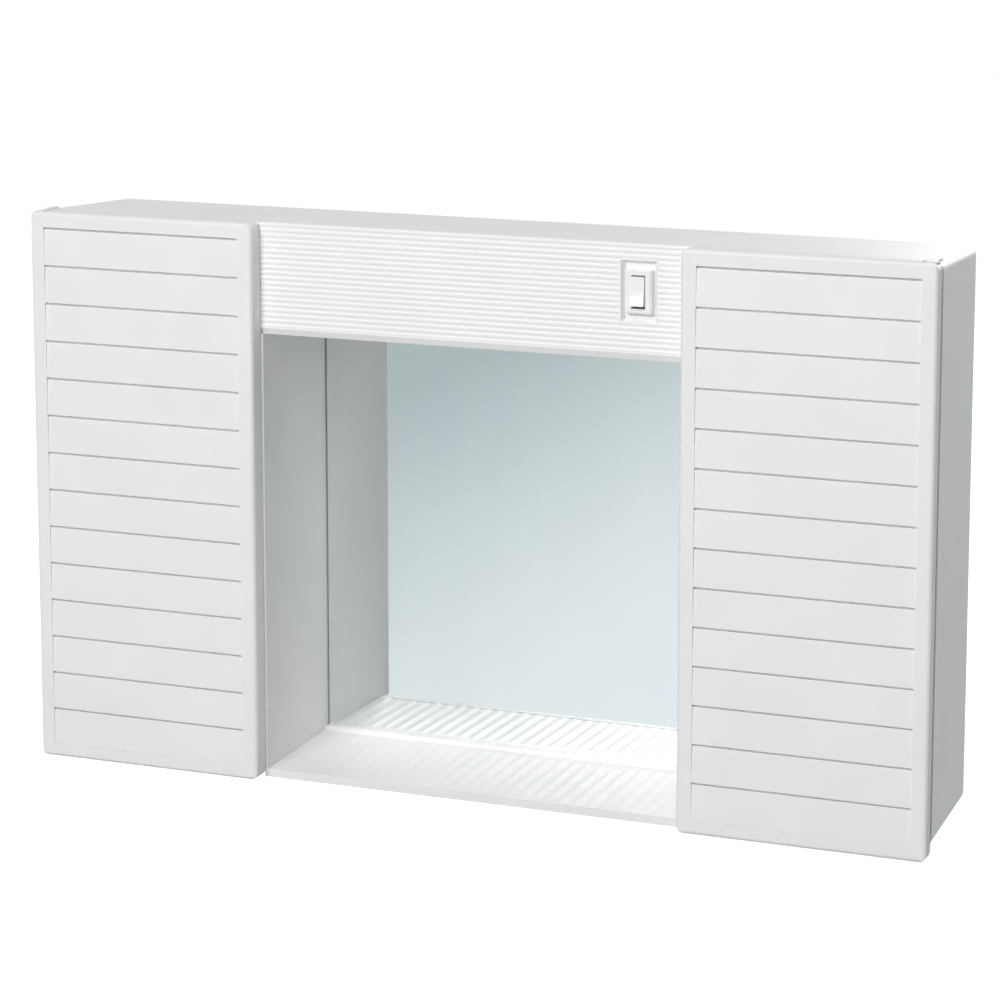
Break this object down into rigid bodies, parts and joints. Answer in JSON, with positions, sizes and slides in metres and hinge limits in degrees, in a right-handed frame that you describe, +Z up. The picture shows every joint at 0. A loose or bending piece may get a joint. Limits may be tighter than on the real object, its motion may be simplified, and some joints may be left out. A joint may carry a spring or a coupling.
{
  "type": "lighted mirror cabinet",
  "caption": "Wall-hung bathroom cabinet with a mirrored niche under a light box and a louvred door on each side.",
  "frame": {"origin": "on the wall, midway between the two wall screws", "axes": "+X to the right as seen from the front, +Y into the wall, +Z up"},
  "size_m": [0.6, 0.1121, 0.3634],
  "materials": {
    "white_plastic": "moulded white polystyrene with a soft gloss",
    "mirror": "silvered float glass",
    "opal_plastic": "milky diffuser sheet",
    "opal_glass": "opal lamp glass, opaque at rest",
    "aluminium": "bright rolled sheet",
    "steel": "zinc plated",
    "brass": "plain brass",
    "white_fittings": "thermoset fittings",
    "switch_plastic": "smooth gloss",
    "rubber": "soft black rubber",
    "foam": "double-sided foam tape",
    "brown_wire": "brown insulation",
    "blue_wire": "blue insulation"
  },
  "bodies": {
    "left_door": {"left_door": "white_plastic", "left_strike_plate": "steel"},
    "right_door": {"right_door": "white_plastic", "right_strike_plate": "steel"},
    "rocker": {"switch_rocker": "switch_plastic"},
    "cabinet": {"cabinet_body": "white_plastic", "left_upper_shelf": "white_plastic", "left_lower_shelf": "white_plastic", "right_upper_shelf": "white_plastic", "right_lower_shelf": "white_plastic", "light_cover": "white_plastic", "mirror_glass": "mirror", "light_diffuser": "opal_plastic", "left_bulb_glass": "opal_glass", "right_bulb_glass": "opal_glass", "heat_shield": "aluminium", "left_hinge_pins": "steel", "right_hinge_pins": "steel", "heat_shield_screws": "steel", "left_lamp_bracket": "steel", "right_lamp_bracket": "steel", "lamp_bracket_screws": "steel", "catch_screws": "steel", "left_bulb_cap": "brass", "right_bulb_cap": "brass", "switch_terminals": "brass", "terminal_screws": "brass", "left_lampholder": "white_fittings", "right_lampholder": "white_fittings", "terminal_block": "white_fittings", "left_catch": "white_fittings", "right_catch": "white_fittings", "switch_housing": "switch_plastic", "cable_grommet": "rubber", "mirror_pads": "foam", "live_wire": "brown_wire", "left_switched_wire": "brown_wire", "right_switched_wire": "brown_wire", "left_neutral_wire": "blue_wire", "right_neutral_wire": "blue_wire"}
  },
  "joints": [
    {"name": "left_door_hinge", "type": "hinge", "parent": "cabinet", "child": "left_door", "pos_m": [-0.2937, -0.1058, -0.15], "axis": [0, 0, -1], "range_deg": [0, 95]},
    {"name": "right_door_hinge", "type": "hinge", "parent": "cabinet", "child": "right_door", "pos_m": [0.2937, -0.1058, -0.15], "axis": [0, 0, 1], "range_deg": [0, 95]},
    {"name": "switch_rock", "type": "hinge", "parent": "cabinet", "child": "rocker", "pos_m": [0.11125, -0.0968, 0], "axis": [1, 0, 0], "range_deg": [0, 16]}
  ]
}
